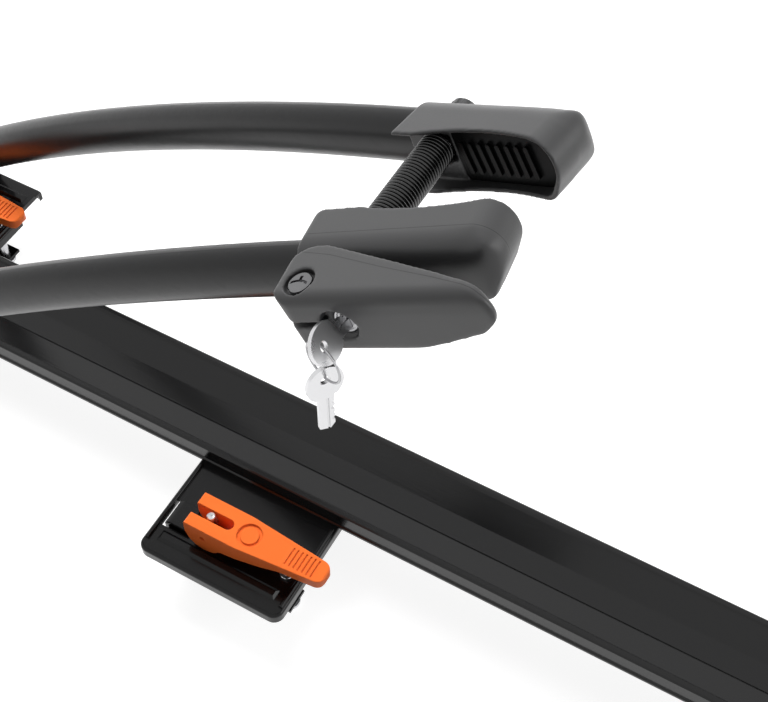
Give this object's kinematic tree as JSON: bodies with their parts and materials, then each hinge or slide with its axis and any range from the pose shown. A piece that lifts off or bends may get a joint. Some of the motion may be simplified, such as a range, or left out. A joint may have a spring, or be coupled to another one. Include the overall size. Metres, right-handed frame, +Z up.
{
  "type": "bike carrier",
  "caption": "Roof bicycle carrier: channel rail on cam-clamped crossbar brackets, folding arms with a spring-opened, lever-closed lockable frame jaw and strapped wheel holders.",
  "frame": {"origin": "middle of the rail's underside, where the bracket plates' top faces lie", "axes": "+X along the rail towards its front end, +Y towards the far arm, +Z up"},
  "size_m": [1.368, 0.2318, 0.3862],
  "materials": {
    "rail": "satin black anodised",
    "rail_end_cap": "fine grain",
    "bracket_plate": "gloss black",
    "bracket_pads": "matt",
    "slot_bolts": "zinc plated",
    "clamp_strap": "gloss black",
    "pull_bolt": "zinc plated",
    "cam_pin": "plain",
    "strap_stud": "zinc plated",
    "cam_lever": "fine grain orange",
    "arm_foot": "gloss black",
    "fold_pin": "zinc plated",
    "knuckle": "satin black",
    "splay_pin": "zinc plated",
    "clamp_rod": "black zinc",
    "clamp_spring": "black",
    "arm": "satin dark grey",
    "near_jaw_shell": "satin dark grey",
    "near_jaw_cover": "satin dark grey",
    "near_jaw_pad": "matt",
    "far_jaw_shell": "satin dark grey",
    "far_jaw_pad": "matt",
    "rod_nut": "satin dark grey",
    "quick_lever_body": "satin dark grey",
    "quick_lever_cover": "satin dark grey",
    "pivot_screw": "polished",
    "lock_cylinder": "polished",
    "lock_key": "nickel",
    "key_ring": "nickel",
    "spare_key": "nickel",
    "wheel_cradle": "fine grain",
    "cradle_pins": "plain",
    "wheel_strap": "satin",
    "strap_buckle": "satin",
    "buckle_lever": "fine grain orange"
  },
  "bodies": {
    "rail_body": {"rail": "rail", "rail_end_cap_front": "rail_end_cap", "rail_end_cap_rear": "rail_end_cap"},
    "bracket_a": {"bracket_plate_a": "bracket_plate", "bracket_pads_a": "bracket_pads", "slot_bolts_a": "slot_bolts"},
    "strap_a": {"clamp_strap_a": "clamp_strap", "pull_bolt_a": "pull_bolt", "cam_pin_a": "cam_pin", "strap_stud_a": "strap_stud"},
    "cam_lever_a": {"cam_lever_a": "cam_lever"},
    "bracket_b": {"bracket_plate_b": "bracket_plate", "bracket_pads_b": "bracket_pads", "slot_bolts_b": "slot_bolts", "arm_foot_near": "arm_foot", "arm_foot_far": "arm_foot", "fold_pin_near": "fold_pin", "fold_pin_far": "fold_pin"},
    "strap_b": {"clamp_strap_b": "clamp_strap", "pull_bolt_b": "pull_bolt", "cam_pin_b": "cam_pin", "strap_stud_b": "strap_stud"},
    "cam_lever_b": {"cam_lever_b": "cam_lever"},
    "fold_links": {"knuckle_near": "knuckle", "knuckle_far": "knuckle", "splay_pin_near": "splay_pin", "splay_pin_far": "splay_pin", "clamp_rod": "clamp_rod", "clamp_spring": "clamp_spring"},
    "near_arm": {"arm_near": "arm", "near_jaw_shell": "near_jaw_shell", "near_jaw_cover": "near_jaw_cover", "near_jaw_pad": "near_jaw_pad"},
    "far_arm": {"arm_far": "arm", "far_jaw_shell": "far_jaw_shell", "far_jaw_pad": "far_jaw_pad"},
    "rod_nut": {"rod_nut": "rod_nut"},
    "quick_lever": {"quick_lever_body": "quick_lever_body", "quick_lever_cover": "quick_lever_cover", "pivot_screw": "pivot_screw"},
    "lock": {"lock_cylinder": "lock_cylinder", "lock_key": "lock_key"},
    "key_ring": {"key_ring": "key_ring"},
    "spare_key": {"spare_key": "spare_key"},
    "cradle_front": {"wheel_cradle_front": "wheel_cradle", "cradle_pins_front": "cradle_pins"},
    "wheel_strap_front": {"wheel_strap_front": "wheel_strap"},
    "strap_buckle_front": {"strap_buckle_front": "strap_buckle"},
    "buckle_lever_front": {"buckle_lever_front": "buckle_lever"},
    "cradle_rear": {"wheel_cradle_rear": "wheel_cradle", "cradle_pins_rear": "cradle_pins"},
    "wheel_strap_rear": {"wheel_strap_rear": "wheel_strap"},
    "strap_buckle_rear": {"strap_buckle_rear": "strap_buckle"},
    "buckle_lever_rear": {"buckle_lever_rear": "buckle_lever"}
  },
  "joints": [
    {"name": "bracket_slide_a", "type": "slide", "parent": "rail_body", "child": "bracket_a", "axis": [1, 0, 0], "range_m": [-0.02, 0.1]},
    {"name": "bracket_slide_b", "type": "slide", "parent": "rail_body", "child": "bracket_b", "axis": [1, 0, 0], "range_m": [-0.1, 0]},
    {"name": "strap_swing_a", "type": "hinge", "parent": "bracket_a", "child": "strap_a", "pos_m": [0.209, -0.0752, 0], "axis": [0, -1, 0], "range_deg": [0, 1.54]},
    {"name": "cam_swing_a", "type": "hinge", "parent": "strap_a", "child": "cam_lever_a", "pos_m": [0.156, -0.0752, 0.014], "axis": [0, -1, 0], "range_deg": [0, 72]},
    {"name": "strap_swing_b", "type": "hinge", "parent": "bracket_b", "child": "strap_b", "pos_m": [-0.129, 0.062, 0], "axis": [0, -1, 0], "range_deg": [0, 1.54]},
    {"name": "cam_swing_b", "type": "hinge", "parent": "strap_b", "child": "cam_lever_b", "pos_m": [-0.182, 0.062, 0.014], "axis": [0, -1, 0], "range_deg": [0, 72]},
    {"name": "arm_fold", "type": "hinge", "parent": "bracket_b", "child": "fold_links", "pos_m": [-0.18041, 0, 0.01312], "axis": [0, -1, 0], "range_deg": [-16, 50]},
    {"name": "near_arm_splay", "type": "hinge", "parent": "fold_links", "child": "near_arm", "pos_m": [-0.16188, -0.09902, 0.02818], "axis": [0.6225, 0.0797, -0.7786], "range_deg": [0, 0.196]},
    {"name": "far_arm_splay", "type": "hinge", "parent": "fold_links", "child": "far_arm", "pos_m": [-0.16188, 0.09902, 0.02818], "axis": [0.6225, -0.0797, -0.7786], "range_deg": [-0.5, 3.4], "deforming": ["clamp_spring"]},
    {"name": "nut_travel", "type": "slide", "parent": "fold_links", "child": "rod_nut", "axis": [0, -1, 0], "range_m": [-0.0045, 0.028]},
    {"name": "quick_swing", "type": "hinge", "parent": "fold_links", "child": "quick_lever", "pos_m": [0.2475, -0.08096, 0.293], "axis": [0.4503, 0.0577, -0.891], "range_deg": [0, 80]},
    {"name": "lock_turn", "type": "hinge", "parent": "quick_lever", "child": "lock", "pos_m": [0.26437, -0.08454, 0.29953], "axis": [0.0144, -0.9764, 0.2156], "range_deg": [0, 90]},
    {"name": "ring_swing", "type": "hinge", "parent": "lock", "child": "key_ring", "pos_m": [0.26466, -0.10436, 0.30341], "axis": [0.9553, -0.2957, 0], "range_deg": [-15, 5]},
    {"name": "spare_key_swing", "type": "hinge", "parent": "key_ring", "child": "spare_key", "pos_m": [0.26466, -0.10436, 0.28261], "axis": [0.9553, -0.2957, 0], "range_deg": [-25, 8]},
    {"name": "cradle_slide_front", "type": "slide", "parent": "rail_body", "child": "cradle_front", "axis": [1, 0, 0], "range_m": [-0.1, 0.08]},
    {"name": "wheel_strap_swing_front", "type": "hinge", "parent": "cradle_front", "child": "wheel_strap_front", "pos_m": [0.56, 0.0328, 0.0241], "axis": [-1, 0, 0], "range_deg": [0, 110]},
    {"name": "buckle_swing_front", "type": "hinge", "parent": "cradle_front", "child": "strap_buckle_front", "pos_m": [0.56, -0.0328, 0.0241], "axis": [1, 0, 0], "range_deg": [0, 60]},
    {"name": "buckle_lever_swing_front", "type": "hinge", "parent": "strap_buckle_front", "child": "buckle_lever_front", "pos_m": [0.56, -0.0384, 0.0461], "axis": [1, 0, 0], "range_deg": [0, 80]},
    {"name": "cradle_slide_rear", "type": "slide", "parent": "rail_body", "child": "cradle_rear", "axis": [1, 0, 0], "range_m": [-0.08, 0.1]},
    {"name": "wheel_strap_swing_rear", "type": "hinge", "parent": "cradle_rear", "child": "wheel_strap_rear", "pos_m": [-0.56, 0.0328, 0.0241], "axis": [-1, 0, 0], "range_deg": [0, 110]},
    {"name": "buckle_swing_rear", "type": "hinge", "parent": "cradle_rear", "child": "strap_buckle_rear", "pos_m": [-0.56, -0.0328, 0.0241], "axis": [1, 0, 0], "range_deg": [0, 60]},
    {"name": "buckle_lever_swing_rear", "type": "hinge", "parent": "strap_buckle_rear", "child": "buckle_lever_rear", "pos_m": [-0.56, -0.0384, 0.0461], "axis": [1, 0, 0], "range_deg": [0, 80]}
  ],
  "couplings": [
    {"joint": "strap_swing_a", "follows": "cam_swing_a", "ratio": 0.021389},
    {"joint": "strap_swing_b", "follows": "cam_swing_b", "ratio": 0.021389},
    {"joint": "near_arm_splay", "follows": "quick_swing", "ratio": 0.00245},
    {"joint": "nut_travel", "follows": "far_arm_splay", "m_per_rad": 0.4628}
  ]
}
